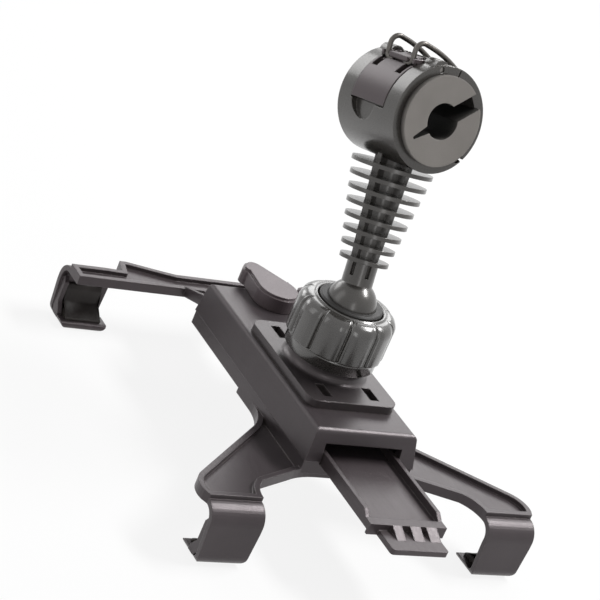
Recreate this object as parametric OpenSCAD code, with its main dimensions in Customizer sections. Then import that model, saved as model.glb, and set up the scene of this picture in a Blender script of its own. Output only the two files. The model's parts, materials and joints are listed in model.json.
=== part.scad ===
// Headrest tablet mount: a clamp head on a ball-jointed stem and a sliding four-claw tablet holder.
// The tablet's back lies in the plane z = 0 and the ball joint stands on the axis x = 0, y = 0.

/* [Housing] */
// Width of the housing across its top face
housing_w = 46; // [42:0.5:54]
// How far each side of the housing flares out at its foot
housing_flare = 1.8; // [0:0.2:3]
// Height of the housing
housing_h = 13; // [11:0.5:18]
// Distance from the ball axis to the near end of the housing
housing_near = 42.5; // [38:0.5:50]
// Distance from the ball axis to the far end of the housing
housing_far = 60; // [56:0.5:70]
// How far the near end leans out at its foot
near_lean = 2.6; // [0:0.2:4]
// Wall of the housing
housing_wall = 2.2; // [1.6:0.1:3]
// Rounding of the housing's long edges
housing_round = 2; // [0.6:0.1:3]
// Height of the rail opening in both ends
opening_h = 7.4; // [6.6:0.2:9]

/* [Lower bracket] */
// Thickness of the bracket's web and claws
web_t = 2.2; // [1.6:0.1:3]
// Height of the rim round the arms above the web
rim_h = 1.8; // [1:0.1:4]
// Width of the rim
rim_w = 2.2; // [1.4:0.1:3]
// Height of the slide bed under the housing
bed_h = 4.2; // [3:0.1:6]
// Near edge of the bracket between its arms
crotch_y = 43.5; // [38:0.5:50]
// Distance from the ball axis to the outer wall of the lower claws
low_claw_y = 72; // [66:0.5:90]
// Inner edge of the lower claws
low_claw_in = 50.5; // [44:0.5:56]
// Outer edge of the lower claws
low_claw_out = 72.7; // [66:0.5:84]
// Bulge of the arm past the claw's outer edge
arm_bulge = 1.6; // [0:0.1:4]

/* [Upper bracket] */
// Width of the rail tray
tray_w = 34.2; // [30:0.2:38]
// Thickness of the tray's floor
tray_floor_t = 2; // [1.4:0.1:3]
// Height of the tray's side walls above its floor
tray_wall_h = 3; // [2:0.1:4]
// Thickness of the tray's side walls
tray_wall_t = 1.8; // [1.2:0.1:2.6]
// Distance from the ball axis to the near end of the tray's floor
tray_near = 84; // [76:0.5:92]
// Length of the stepped end tab
tab_len = 13; // [8:0.5:18]
// Drop of the end tab below the tray's floor
tab_drop = 1.6; // [0.8:0.1:2.2]
// Length of the slope between the rail and the crossbar
ramp_l = 22; // [16:0.5:22.5]
// Near edge of the crossbar
bar_near = 83.5; // [81:0.5:92]
// Width of the crossbar at its middle
bar_mid_w = 11; // [8:0.5:14]
// Width of the crossbar beside its claws
bar_end_w = 9.5; // [8:0.5:12]
// Width of the crossbar at the peaks between its middle and its claws
bar_peak_w = 17; // [14:0.5:20]
// Distance from the ball axis to the outer wall of the upper claws
up_claw_y = 100; // [94:0.5:110]
// Inner edge of the upper claws
up_claw_in = 43.5; // [40:0.5:50]
// Outer edge of the upper claws
up_claw_out = 66.5; // [62:0.5:78]

/* [Claws] */
// Depth of the claws below the tablet's back
claw_drop = 22.6; // [16:0.2:28]
// Length of the lips that hold the tablet's front
lip_len = 14; // [9:0.5:18]
// Thickness of the lips
lip_t = 3; // [2:0.1:4]
// Outer radius of the bend from web to claw
bend_r = 7; // [5:0.5:9]
// Outer radius of the bend from claw to lip
hook_r = 4.6; // [3.6:0.2:6]
// Thickness of the soft pad behind each claw's wall
pad_t = 2.4; // [1.4:0.1:4]

/* [Release lever] */
// Diameter of the lever's round end
lever_d = 19; // [15:0.5:22]
// Diameter of the lever's tail
lever_tail_d = 9; // [6:0.5:12]
// Height of the lever above the housing
lever_h = 7; // [4:0.5:9]
// Place of the lever's pivot across the housing
lever_x = 2; // [-3:0.5:5]
// Place of the lever's pivot along the housing
lever_y = 50; // [48:0.5:51]
// Length from the pivot to the middle of the tail
lever_reach = 16; // [13:0.5:20]
// Direction of the tail at rest, from the housing's right
lever_dir = 104; // [90:1:120]
// Diameter of the lever's shaft
shaft_d = 8; // [6:0.2:9]
// Diameter of the stop post beside the lever
post_d = 5; // [4:0.2:6]

/* [Socket] */
// Width of the base plate
plate_w = 40.6; // [38:0.2:44]
// Length of the base plate
plate_l = 56.6; // [50:0.2:64]
// Thickness of the base plate
plate_t = 3.4; // [2.4:0.2:5]
// Corner radius of the base plate
plate_r = 5; // [2:0.5:8]
// Length of the slots in the base plate
slot_l = 8.5; // [5:0.5:9]
// Width of the slots in the base plate
slot_w = 4; // [2.4:0.2:4.4]
// Diameter of the foot round the socket boss
foot_d = 37; // [34:0.5:39]
// Diameter of the socket boss
boss_d = 31; // [29.6:0.2:32]
// Outer diameter of the collar's skirt
skirt_d = 37; // [36:0.2:38]
// Outer diameter of the collar's lobes
collar_d = 40; // [39:0.2:42]
// Number of lobes round the collar
lobe_count = 10; // [8:1:14]
// Height of the collar above the base plate
collar_top = 28; // [26:0.2:30]
// Gap between the base plate and the collar's skirt
collar_gap = 5.2; // [4.2:0.2:7]
// Diameter of the collar's mouth
mouth_d = 26.4; // [25:0.2:27]

/* [Ball and stem] */
// Diameter of the ball
ball_d = 20; // [18:0.2:20.4]
// Height of the ball's centre above the base plate
ball_h = 27.4; // [26.6:0.2:27.8]
// Distance from the ball's centre to the clamp barrel's axis
stem_len = 77.2; // [74:0.5:90]
// Lean of the stem from the socket's axis
lean = 16.5; // [0:0.5:30]
// Direction of the lean, from the housing's right
lean_az = 77; // [0:1:180]
// Turn of the clamp head about the stem
head_turn = -75; // [-180:1:180]
// Diameter of the shaft above the ball
neck_d = 12.2; // [9:0.2:13]
// Number of cooling-fin-like discs on the stem
disc_count = 8; // [5:1:8]
// Distance between two discs
disc_pitch = 5.25; // [5:0.1:5.6]
// Thickness of each disc
disc_t = 1.6; // [1.2:0.1:2.4]
// Diameter of the disc next to the clamp
disc_big_d = 32; // [28:0.5:34]
// Diameter of the disc next to the ball
disc_small_d = 19.4; // [18:0.2:22]
// Thickness of the fins along the stem's core
fin_t = 2.2; // [1.6:0.1:3]

/* [Clamp head] */
// Outer diameter of the clamp barrel
barrel_d = 41; // [40:0.2:44]
// Length of the clamp barrel
barrel_l = 37; // [34:0.5:42]
// Outer diameter of the soft insert
insert_d = 32.4; // [32:0.2:33]
// Outer diameter of the flanges at both ends of the insert
flange_d = 34.6; // [33.4:0.2:37]
// How far the insert stands proud of each end of the barrel
insert_proud = 2.6; // [1:0.1:4]
// Diameter of the headrest post that the insert holds
post_bore_d = 14; // [10:0.2:16]
// Width of the insert's mouth
mouth_w = 6.4; // [5:0.2:9]
// Direction of the insert's mouth, from the clamp's right
mouth_dir = 38; // [30:1:46]
// Upper end of the moving jaw, from the clamp's right
jaw_top = 79; // [74:1:82]
// Lower end of the moving jaw, from the clamp's right
jaw_low = -38; // [-42:1:-34]
// Diameter of the hinge pins
pin_d = 2; // [1.6:0.1:2.2]
// Width of the latch lever
latch_w = 21; // [18:0.5:24]
// Diameter of the bail's wire
wire_d = 2; // [1.6:0.1:2.4]

/* [Fits] */
// Radial clearance of a running fit
fit = 0.05; // [0.02:0.01:0.1]
// Clearance between parts that slide or pass each other
gap = 0.3; // [0.2:0.05:0.5]

/* [Hidden] */
$fn = 64;
eps = 0.01;
plastic = [0.27, 0.26, 0.27];
dark_plastic = [0.2, 0.19, 0.2];
grey_rubber = [0.5, 0.5, 0.49];
black_rubber = [0.14, 0.14, 0.14];
steel = [0.45, 0.45, 0.47];

// Levels of the holder
bed_low = web_t;
bed_top = bed_low + bed_h;
tray_low = bed_top + gap / 2;
tray_top = tray_low + tray_floor_t;
housing_low = bed_top + 1.4;
housing_top = housing_low + housing_h;
plate_top = housing_top + plate_t;
ball_z = plate_top + ball_h;
bed_w = housing_w + 2 * housing_flare - 0.6;
channel_w = tray_w + 2 * gap;
tab_low = tray_low - tab_drop;

// Length of cuts that go right through a part
through = 60;

// Radii of the clamp head
barrel_r = barrel_d / 2;
bore_r = insert_d / 2 + fit;
jaw_bore_r = insert_d / 2 + gap;
latch_floor_r = barrel_r - 3.1;
pivot_r = barrel_r - 1.6;
pivot_dir = 106;
pivot = [pivot_r * cos(pivot_dir), pivot_r * sin(pivot_dir)];
jaw_pivot_r = barrel_r - 1.3;
jaw_pivot_dir = -43;
jaw_pivot = [jaw_pivot_r * cos(jaw_pivot_dir), jaw_pivot_r * sin(jaw_pivot_dir)];
knuckle_r = pin_d / 2 + 1.4;
latch_knuckle_r = pin_d / 2 + 1;
latch_from = 104;
latch_to = 182;
latch_tip_y = barrel_r * sin(latch_to);
bail_eye = [-11.6, 16.6];
bail_hook_dir = 50;
hook_out = 0.8;
bail_hook = [(barrel_r + hook_out) * cos(bail_hook_dir), (barrel_r + hook_out) * sin(bail_hook_dir)];
bail_inset = 2.5;
bail_half = latch_w / 2 - bail_inset;

// Small hardware
screw_d = 2.6;
screw_head_d = 4.4;
screw_head_h = 1.8;
base_screw_d = 2.8;
base_head_d = 5;
base_head_h = 1.6;
base_seat_h = 5;
base_screw_bite = 3;
cam_screw_d = 2.2;
cam_head_d = 5;
cam_head_h = 2;
cam_screw_bite = 6;
stop_pin_d = 3;
stop_pin_l = 3;
lever_boss_h = 6;
lever_boss_wall = 2.5;
cam_low = tray_top + gap;
cam_top = housing_top - lever_boss_h - gap;

// Socket of the ball
cup_t = 2.2;
fin_dir = 12;
ring_drop = 4;
ring_top = 1.4;
shoulder_z = -2.2;
foot_round = 3;

// Ears, knuckles and pockets of the clamp head
knuckle_half = 8;
ear_r = 3.4;
ear_step = 0.6;
ear_sink = 1;
knuckle_recess = 0.25;
pocket_r = 7.4;
pocket_shift = -2.5;
pocket_deep = 2.6;

// Bends of the wire bail
wire_bend = 1.8;
arch_start = 146;
arch_turn = 22;
arch_r = 50;
top_r = 3.4;
top_turn = 104;
pin_reach = 2.4;

// Points on an arc
function arc(c, r, a0, a1, n = 8) =
    [for (i = [0 : n]) [c[0] + r * cos(a0 + (a1 - a0) * i / n), c[1] + r * sin(a0 + (a1 - a0) * i / n)]];

// The same outline seen in a mirror, in the order that closes it
function mirrored(points) = [for (i = [len(points) - 1 : -1 : 0]) [-points[i][0], points[i][1]]];

// A sector of a ring between two angles
module ring_sector(r_in, r_out, a0, a1, height) {
    rotate([0, 0, a0]) rotate_extrude(angle = a1 - a0, $fn = 96)
        translate([r_in, 0]) square([r_out - r_in, height]);
}

// A plate with rounded corners that stands on z = 0
module rounded_plate(size, r, t) {
    linear_extrude(t) {
        square([size[0] - 2 * r, size[1]], center = true);
        square([size[0], size[1] - 2 * r], center = true);
        for (x = [-1, 1], y = [-1, 1])
            translate([x * (size[0] / 2 - r), y * (size[1] / 2 - r)]) circle(r);
    }
}

// Side view of a claw: a = 0 is its outer wall, a grows inwards, and z = 0 is the tablet's back
module claw_profile(reach) {
    lip_in = claw_drop - lip_t;
    outer = concat([[reach, web_t]], arc([bend_r, web_t - bend_r], bend_r, 90, 180, 10),
                   arc([hook_r, hook_r - claw_drop], hook_r, 180, 270, 8),
                   arc([lip_len - lip_t / 2, lip_t / 2 - claw_drop], lip_t / 2, 270, 450, 8));
    inner = concat(arc([hook_r, hook_r - claw_drop], hook_r - web_t, 262, 180, 8),
                   arc([bend_r, web_t - bend_r], bend_r - web_t, 180, 90, 10), [[reach, 0]]);
    polygon(concat(outer, [[hook_r + 2, -lip_in]], inner));
}

// Front view of a claw: narrower and rounded towards its lip
module claw_front(x0, x1) {
    r = 4;
    narrow = 0.8;
    high = 6;
    polygon(concat([[x1, high], [x0, high], [x0, -bend_r]],
                   arc([x0 + narrow + r, r - claw_drop], r, 180, 270, 6),
                   arc([x1 - narrow - r, r - claw_drop], r, 270, 360, 6), [[x1, -bend_r]]));
}

// A claw whose outer wall is at y = wall_y, on the side that dir points to
module claw(x0, x1, wall_y, dir, reach) {
    intersection() {
        translate([x0 - 1, wall_y, 0]) mirror([0, dir > 0 ? 0 : 1, 0])
            rotate([90, 0, 90]) linear_extrude(x1 - x0 + 2) mirror([1, 0]) claw_profile(reach);
        translate([0, wall_y + 2 * reach, 0]) rotate([90, 0, 0])
            linear_extrude(4 * reach) claw_front(x0, x1);
    }
}

// Stiffening rim along a claw's outer edge
module claw_rim(x, wall_y, dir) {
    rim_t = 2;
    deep = web_t + 3;
    low = lip_t - claw_drop;
    high = 1 - bend_r;
    foot = 3;
    translate([x - rim_t, wall_y, 0]) mirror([0, dir > 0 ? 0 : 1, 0]) rotate([90, 0, 90])
        linear_extrude(rim_t) mirror([1, 0])
            polygon([[web_t - 1, high], [web_t + 1.4, high + 2.4], [deep, high], [deep, low + foot + 2],
                     [deep + foot, low + 1], [deep + foot, low - 1], [hook_r, low - 1],
                     [web_t - 1, low + foot]]);
}

// The soft wedge between a claw's wall and its lip
module claw_pad(x0, x1, wall_y, dir) {
    side = 3.4;
    top_z = -bend_r;
    low_z = lip_t - claw_drop + gap;
    translate([x0 + side, wall_y, 0]) mirror([0, dir > 0 ? 0 : 1, 0]) rotate([90, 0, 90])
        linear_extrude(x1 - x0 - 2 * side) mirror([1, 0])
            polygon([[web_t, top_z], [web_t + pad_t * 0.6, top_z], [web_t + pad_t, top_z - 2],
                     [web_t + pad_t, low_z + pad_t * 2], [lip_len - 2, low_z + 0.8],
                     [lip_len - 2, low_z - gap], [hook_r + 2.4, low_z - gap],
                     [hook_r - 0.6, low_z + 0.6], [web_t, low_z + 3]]);
}

// Right half of the lower bracket's outline, from its crotch round the claw to the bed's side
function arm_half() =
    let (bulge_x = low_claw_out + arm_bulge,
         claw_line = low_claw_y - bend_r,
         shoulder_r = 11.4,
         waist_r = 24)
    concat(
        [[0, -crotch_y]],
        arc([16, -crotch_y - 30], 30, 90, 62, 5),
        arc([low_claw_in - 15, -claw_line], 15, 48, 8, 5),
        [[low_claw_in, -claw_line], [low_claw_out, -claw_line]],
        arc([bulge_x - shoulder_r, -claw_line + 5.5], shoulder_r, -14, 50, 8),
        arc([bed_w / 2 + waist_r, 0], waist_r, 232, 180, 8),
        [[bed_w / 2, 12], [bed_w / 2 - 6, 18], [0, 18]]);

module arm_outline() {
    right = arm_half();
    polygon(concat(right, mirrored([for (i = [1 : len(right) - 2]) right[i]])));
}

// Web with both lower arms and claws and the bed that carries the housing
module lower_bracket() {
    head_room = bed_low + screw_head_h + 3 * eps;
    color(plastic) difference() {
        union() {
            linear_extrude(web_t) arm_outline();
            linear_extrude(web_t + rim_h) difference() {
                arm_outline();
                offset(delta = -rim_w) arm_outline();
            }
            for (s = [0, 1]) mirror([s, 0, 0])
                low_claw();
            slide_bed();
        }
        for (p = screw_places()) translate([p[0], p[1], 0]) {
            translate([0, 0, -eps]) cylinder(d = screw_d + 2 * fit, h = through);
            translate([0, 0, -eps]) cylinder(d = screw_head_d + 2 * gap, h = head_room);
        }
    }
}

module low_claw() {
    claw(low_claw_in, low_claw_out, -low_claw_y, -1, bend_r + 1.2);
    claw_rim(low_claw_out - 1, -low_claw_y, -1);
}

// The flat bed under the housing that guides the rail tray
module slide_bed() {
    inset = 0.5;
    bed_l = housing_near + near_lean + housing_far - 2 * inset;
    bed_end = inset - housing_near - near_lean;
    side_w = (bed_w - channel_w) / 2;
    translate([-bed_w / 2, bed_end, bed_low - eps]) cube([bed_w, bed_l, bed_h + eps]);
    for (x = [-bed_w / 2, bed_w / 2 - side_w]) translate([x, bed_end, bed_low])
        cube([side_w, bed_l, housing_low - bed_low]);
}

// Where the four screws between the bed and the housing stand
function screw_places() =
    let (x = channel_w / 2 + (bed_w - channel_w) / 4 - 0.2, inset = 7)
    [for (x_s = [-x, x], y = [inset - housing_near, housing_far - inset]) [x_s, y]];

// Four slotted screws from below
module housing_screws() {
    screw_l = 10;
    slot = 0.7;
    color(steel) for (p = screw_places()) translate([p[0], p[1], bed_low + gap]) {
        cylinder(d = screw_d, h = screw_l);
        difference() {
            cylinder(d = screw_head_d, h = screw_head_h - gap);
            translate([-screw_head_d / 2, -slot / 2, -eps]) cube([screw_head_d, slot, slot]);
        }
    }
}

// Cross-section of the housing, as a solid outline
module housing_section(inset, round_r) {
    half = housing_w / 2 - inset;
    foot = housing_w / 2 + housing_flare - inset;
    high = housing_h - inset;
    polygon(concat([[-foot, 0], [foot, 0]], arc([half - round_r, high - round_r], round_r, 4, 90, 6),
                   arc([round_r - half, high - round_r], round_r, 90, 176, 6)));
}

// Hollow housing over the rail, with bosses for its screws and for the lever's shaft
module rear_housing() {
    near_foot = housing_near + near_lean;
    long = housing_near + housing_far;
    far_round = 1.6;
    near_round = 2.2;
    roof_t = 3;
    screw_boss_d = screw_d + 2.6;
    base_boss_d = 6.5;
    color(plastic) difference() {
        intersection() {
            translate([0, housing_far, housing_low]) rotate([90, 0, 0])
                linear_extrude(long + 5) housing_section(0, housing_round);
            translate([-housing_w, 0, housing_low]) rotate([90, 0, 90]) linear_extrude(2 * housing_w)
                polygon(concat([[-near_foot, 0], [housing_far, 0]],
                    arc([housing_far - far_round, housing_h - far_round], far_round, 0, 90, 5),
                    arc([near_round - housing_near, housing_h - near_round], near_round, 90, 170, 6)));
        }
        difference() {
            translate([0, housing_far - housing_wall, housing_low - eps]) rotate([90, 0, 0])
                linear_extrude(long - 2 * housing_wall) housing_section(housing_wall, 1);
            for (p = screw_places()) translate([p[0], p[1], housing_low - 1])
                cylinder(d = screw_boss_d, h = housing_h);
            translate([lever_x, lever_y, housing_top - lever_boss_h])
                cylinder(d = shaft_d + 2 * lever_boss_wall, h = lever_boss_h);
            for (p = base_screw_places()) translate([p[0], p[1], housing_top - base_seat_h])
                cylinder(d = base_boss_d, h = base_seat_h);
        }
        translate([-channel_w / 2, -long, housing_low - eps]) cube([channel_w, 2 * long, opening_h]);
        for (p = screw_places()) translate([p[0], p[1], housing_low - eps])
            cylinder(d = screw_d + 2 * fit, h = housing_h - roof_t);
        translate([lever_x, lever_y, 0]) cylinder(d = shaft_d + 2 * fit, h = through);
        translate([post_x(), post_y(), housing_top - stop_pin_l - 1])
            cylinder(d = stop_pin_d + 2 * fit, h = 2 * stop_pin_l);
        for (p = base_screw_places()) translate([p[0], p[1], 0])
            cylinder(d = base_screw_d + 2 * fit, h = through);
    }
}

// Where the four screws that hold the base plate stand
function base_screw_places() =
    let (d = boss_d * 0.28)
    [for (x = [-1, 1], y = [-1, 1]) [x * d, y * d]];

// Four socket-head screws from inside the housing into the base plate
module base_screws() {
    key_d = 2.2;
    key_h = 0.9;
    screw_l = base_seat_h + plate_t + base_screw_bite;
    color(steel) for (p = base_screw_places())
        translate([p[0], p[1], housing_top - base_seat_h - gap / 2]) {
            cylinder(d = base_screw_d, h = screw_l);
            translate([0, 0, -base_head_h]) difference() {
                cylinder(d = base_head_d, h = base_head_h);
                translate([0, 0, -eps]) cylinder(d = key_d, h = key_h, $fn = 6);
            }
        }
}

// Rail tray, its stepped end, the neck, the crossbar and both upper claws
module upper_bracket() {
    tray_far = bar_near + 2;
    floor_far = tray_far - ramp_l;
    bar_l = 3;
    bar_top = tray_top + 1;
    wall_top = tray_top + tray_wall_h;
    wall_side = [[-tray_near, tray_low], [-tray_near, bar_top], [bar_l - tray_near, bar_top],
                 [2 * bar_l - tray_near, wall_top], [floor_far, wall_top], [floor_far, tray_low]];
    color(plastic) union() {
        translate([-tray_w / 2, -tray_near, tray_low]) cube([tray_w, tray_near + floor_far, tray_floor_t]);
        translate([-tray_w / 2, -tray_near, tray_low]) cube([tray_w, bar_l, bar_top - tray_low]);
        for (x = [-tray_w / 2, tray_w / 2 - tray_wall_t]) translate([x, 0, 0])
            rotate([90, 0, 90]) linear_extrude(tray_wall_t) polygon(wall_side);
        end_tab(bar_top);
        neck_ramp(tray_far);
        crossbar();
        for (s = [0, 1]) mirror([s, 0, 0]) up_claw();
    }
}

// Claw of the crossbar, with its inner corner cut off
module up_claw() {
    corner = 9;
    difference() {
        claw(up_claw_in, up_claw_out, up_claw_y, 1, bend_r + 1.2);
        translate([up_claw_in - 1, up_claw_y + 5, -bend_r]) rotate([90, 0, 0]) linear_extrude(bend_r + 5)
            polygon([[0, 0], [0, corner + 3], [corner + 4, corner + 3], [corner, bend_r - 1]]);
    }
    claw_rim(up_claw_out - 1, up_claw_y, 1);
}

// Stepped end of the tray with three sloping gussets and the pockets between them
module end_tab(bar_top) {
    tab_t = 2.2;
    tab_w = tray_w - 9.2;
    tab_round = 1.2;
    riser_t = 1.2;
    gusset_end = -tray_near - riser_t - 6;
    tab_top = tab_low + tab_t;
    gussets = [[-7.5, 4.1], [0.3, 4.7], [7.5, 4.8]];
    translate([-tab_w / 2, -tray_near - tab_len + tab_round, tab_low])
        cube([tab_w, tab_len - tab_round, tab_t]);
    translate([0, -tray_near - tab_len / 2, tab_low]) rounded_plate([tab_w, tab_len], tab_round, tab_t);
    translate([-tray_w / 2, -tray_near - riser_t, tab_low])
        cube([tray_w, riser_t + eps, bar_top - tab_low]);
    for (g = gussets) translate([g[0], 0, 0]) rotate([90, 0, 90]) linear_extrude(g[1])
        polygon([[-tray_near, tab_low], [-tray_near, bar_top], [-tray_near - riser_t, bar_top],
                 [gusset_end, tab_top - eps], [gusset_end, tab_low]]);
}

// The sloping neck that brings the rail down to the crossbar
module neck_ramp(tray_far) {
    y0 = tray_far - ramp_l - eps;
    side = [[y0, tray_low], [y0, tray_top], [y0 + 1, tray_top],
            [tray_far, web_t], [tray_far, 0], [tray_far - 1, 0]];
    wall = [[y0, tray_low], [y0, tray_top + tray_wall_h],
            [tray_far, web_t + rim_h], [tray_far, 0], [tray_far - 1, 0]];
    translate([-tray_w / 2, 0, 0]) rotate([90, 0, 90]) linear_extrude(tray_w) polygon(side);
    for (x = [-tray_w / 2, tray_w / 2 - tray_wall_t]) translate([x, 0, 0])
        rotate([90, 0, 90]) linear_extrude(tray_wall_t) polygon(wall);
}

// Right half of the crossbar's outline
function bar_half() =
    let (claw_line = up_claw_y - bend_r,
         end_y = bar_near + bar_end_w,
         peak_y = bar_near + bar_peak_w,
         mid_y = bar_near + bar_mid_w)
    [[0, bar_near], [up_claw_out, bar_near], [up_claw_out, claw_line], [up_claw_in + 12, claw_line],
     [up_claw_in + 8, end_y], [up_claw_in, end_y - 0.5], [up_claw_in - 2, peak_y],
     [up_claw_in - 5, peak_y], [tray_w / 2 + 6, mid_y + 1.5], [tray_w / 2, mid_y], [0, mid_y]];

module bar_outline() {
    right = bar_half();
    polygon(concat(right, mirrored([for (i = [1 : len(right) - 2]) right[i]])));
}

// The channel-shaped bar that carries both upper claws
module crossbar() {
    linear_extrude(web_t) bar_outline();
    linear_extrude(web_t + rim_h) difference() {
        bar_outline();
        offset(delta = -rim_w) bar_outline();
    }
}

function post_x() = lever_x + 14.5;
function post_y() = lever_y + 3.5;

// Post that stops the lever
module stop_post() {
    chamfer = 0.8;
    post_h = lever_h - 2;
    color(dark_plastic) translate([post_x(), post_y(), housing_top]) {
        translate([0, 0, -stop_pin_l]) cylinder(d = stop_pin_d, h = stop_pin_l + 1);
        cylinder(d = post_d, h = post_h);
        translate([0, 0, post_h]) cylinder(d1 = post_d, d2 = post_d - 2 * chamfer, h = chamfer);
    }
}

// Seen from above: a round hub and a hooked tail
module lever_outline() {
    tail = [lever_reach * cos(lever_dir), lever_reach * sin(lever_dir)];
    hull() {
        circle(d = lever_d, $fn = 48);
        translate(tail) circle(d = lever_tail_d, $fn = 32);
    }
    hull() {
        translate(tail) circle(d = lever_tail_d, $fn = 32);
        translate(tail + [-2.6, -1.4]) circle(d = lever_tail_d - 2.4, $fn = 32);
    }
}

module release_lever() {
    top_h = 1.2;
    top_inset = 1;
    color(dark_plastic) translate([lever_x, lever_y, 0]) difference() {
        union() {
            translate([0, 0, housing_top + gap / 2]) linear_extrude(lever_h - top_h) lever_outline();
            translate([0, 0, housing_top + lever_h - top_h]) linear_extrude(top_h)
                offset(delta = -top_inset) lever_outline();
            translate([0, 0, cam_top]) cylinder(d = shaft_d, h = housing_top - cam_top + 2);
        }
        translate([0, 0, cam_top - 1]) cylinder(d = cam_screw_d + 2 * fit, h = cam_screw_bite + 3);
    }
}

// Eccentric on the lever's shaft that jams against the rail's side wall
module lock_cam() {
    cam_r = tray_w / 2 - tray_wall_t - gap - lever_x;
    lobe_w = 7;
    hub_d = shaft_d + 3;
    color(dark_plastic) translate([lever_x, lever_y, 0]) difference() {
        union() {
            translate([0, 0, cam_low]) cylinder(d = hub_d, h = cam_top - cam_low);
            translate([0, 0, cam_low]) linear_extrude(tray_wall_h - gap) intersection() {
                circle(r = cam_r, $fn = 96);
                translate([0, -lobe_w / 2]) square([cam_r, lobe_w]);
            }
        }
        translate([0, 0, cam_low - 1]) cylinder(d = cam_screw_d + 2 * fit, h = through);
        translate([0, 0, cam_low - 1]) cylinder(d = cam_head_d + 2 * gap, h = cam_head_h + 1.2);
    }
}

// Screw that holds the cam on the lever's shaft
module lever_screw() {
    key_d = 2.4;
    color(steel) translate([lever_x, lever_y, cam_low + 0.2]) {
        difference() {
            cylinder(d = cam_head_d, h = cam_head_h);
            translate([0, 0, -eps]) cylinder(d = key_d, h = cam_head_h / 2, $fn = 6);
        }
        cylinder(d = cam_screw_d, h = cam_top - cam_low + cam_screw_bite);
    }
}

// Torsion spring round the lever's boss, with one straight leg
module lever_spring() {
    wire = 1;
    leg_l = 12;
    coil_r = shaft_d / 2 + lever_boss_wall + wire / 2 + 0.2;
    color(steel) translate([lever_x, lever_y, cam_top + 2 * gap]) {
        for (i = [0 : 2]) translate([0, 0, wire / 2 + i * wire * 0.9])
            rotate_extrude() translate([coil_r, 0]) circle(d = wire, $fn = 24);
        translate([0, coil_r, wire * 2.3]) rotate([0, -90, 0])
            cylinder(d = wire * 0.96, h = leg_l, $fn = 24);
    }
}

// Base plate with its slots, the foot and the boss that the collar turns on
module socket_base() {
    cup_r = ball_d / 2 + cup_t + gap;
    slot_floor = 0.8;
    boss_top = ball_h - ring_drop - gap;
    profile = concat([[0, 0], [foot_d / 2, 0]], arc([foot_d / 2, foot_round], foot_round, 270, 180, 6),
                     [[boss_d / 2, collar_gap + 2], [boss_d / 2, boss_top], [0, boss_top]]);
    color(plastic) difference() {
        union() {
            translate([0, 0, housing_top]) rounded_plate([plate_w, plate_l], plate_r, plate_t);
            translate([0, 0, plate_top - eps]) rotate_extrude($fn = 96) polygon(profile);
        }
        translate([0, 0, ball_z]) sphere(r = cup_r, $fn = 96);
        translate([0, 0, ball_z - ball_d * 0.3]) cylinder(r = cup_r - 0.2, h = ball_d);
        for (x = [-1, 1], y = [-1, 1])
            translate([x * slot_x(), y * slot_y(), housing_top + slot_floor]) slot_cut();
        for (p = base_screw_places()) translate([p[0], p[1], 0])
            cylinder(d = base_screw_d + 2 * fit, h = plate_top + base_screw_bite + 1);
    }
}

function slot_x() = plate_w / 2 - slot_w / 2 - 7.6;
function slot_y() = plate_l / 2 - slot_l / 2 - 3.8;

// One slot of the plate
module slot_cut() {
    translate([-slot_w / 2, -slot_l / 2, 0]) cube([slot_w, slot_l, plate_t + 1]);
}

// Lower seat of the ball
module ball_cup() {
    cup_r = ball_d / 2 + cup_t;
    drain_r = 3;
    color(black_rubber) translate([0, 0, ball_z]) difference() {
        intersection() {
            sphere(r = cup_r, $fn = 96);
            translate([0, 0, -cup_r]) cylinder(r = cup_r, h = cup_r - ring_drop - gap);
        }
        sphere(r = ball_d / 2 + fit, $fn = 96);
        translate([0, 0, -cup_r - 1]) cylinder(r = drain_r, h = ball_d / 2);
    }
}

// Slotted ring that the collar presses round the upper half of the ball
module friction_ring() {
    flange_r = boss_d / 2 - 0.6;
    upper_r = mouth_d / 2 - gap;
    low = -ring_drop;
    slit_w = 0.8;
    color(black_rubber) translate([0, 0, ball_z]) difference() {
        rotate_extrude($fn = 96) polygon([[0, low], [flange_r, low], [flange_r, shoulder_z - gap],
                                          [upper_r, shoulder_z - gap], [upper_r, ring_top - 0.6],
                                          [upper_r - 0.6, ring_top], [0, ring_top]]);
        sphere(r = ball_d / 2 + fit, $fn = 96);
        translate([0, 0, low - 1]) cylinder(r = ball_d / 2 - 1.2, h = 20);
        for (a = [0 : 60 : 359]) rotate([0, 0, a + 20])
            translate([ball_d / 2 - 2, -slit_w / 2, low - 5])
                cube([ball_d, slit_w, 5 + ring_drop + ring_top - 1]);
    }
}

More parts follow.
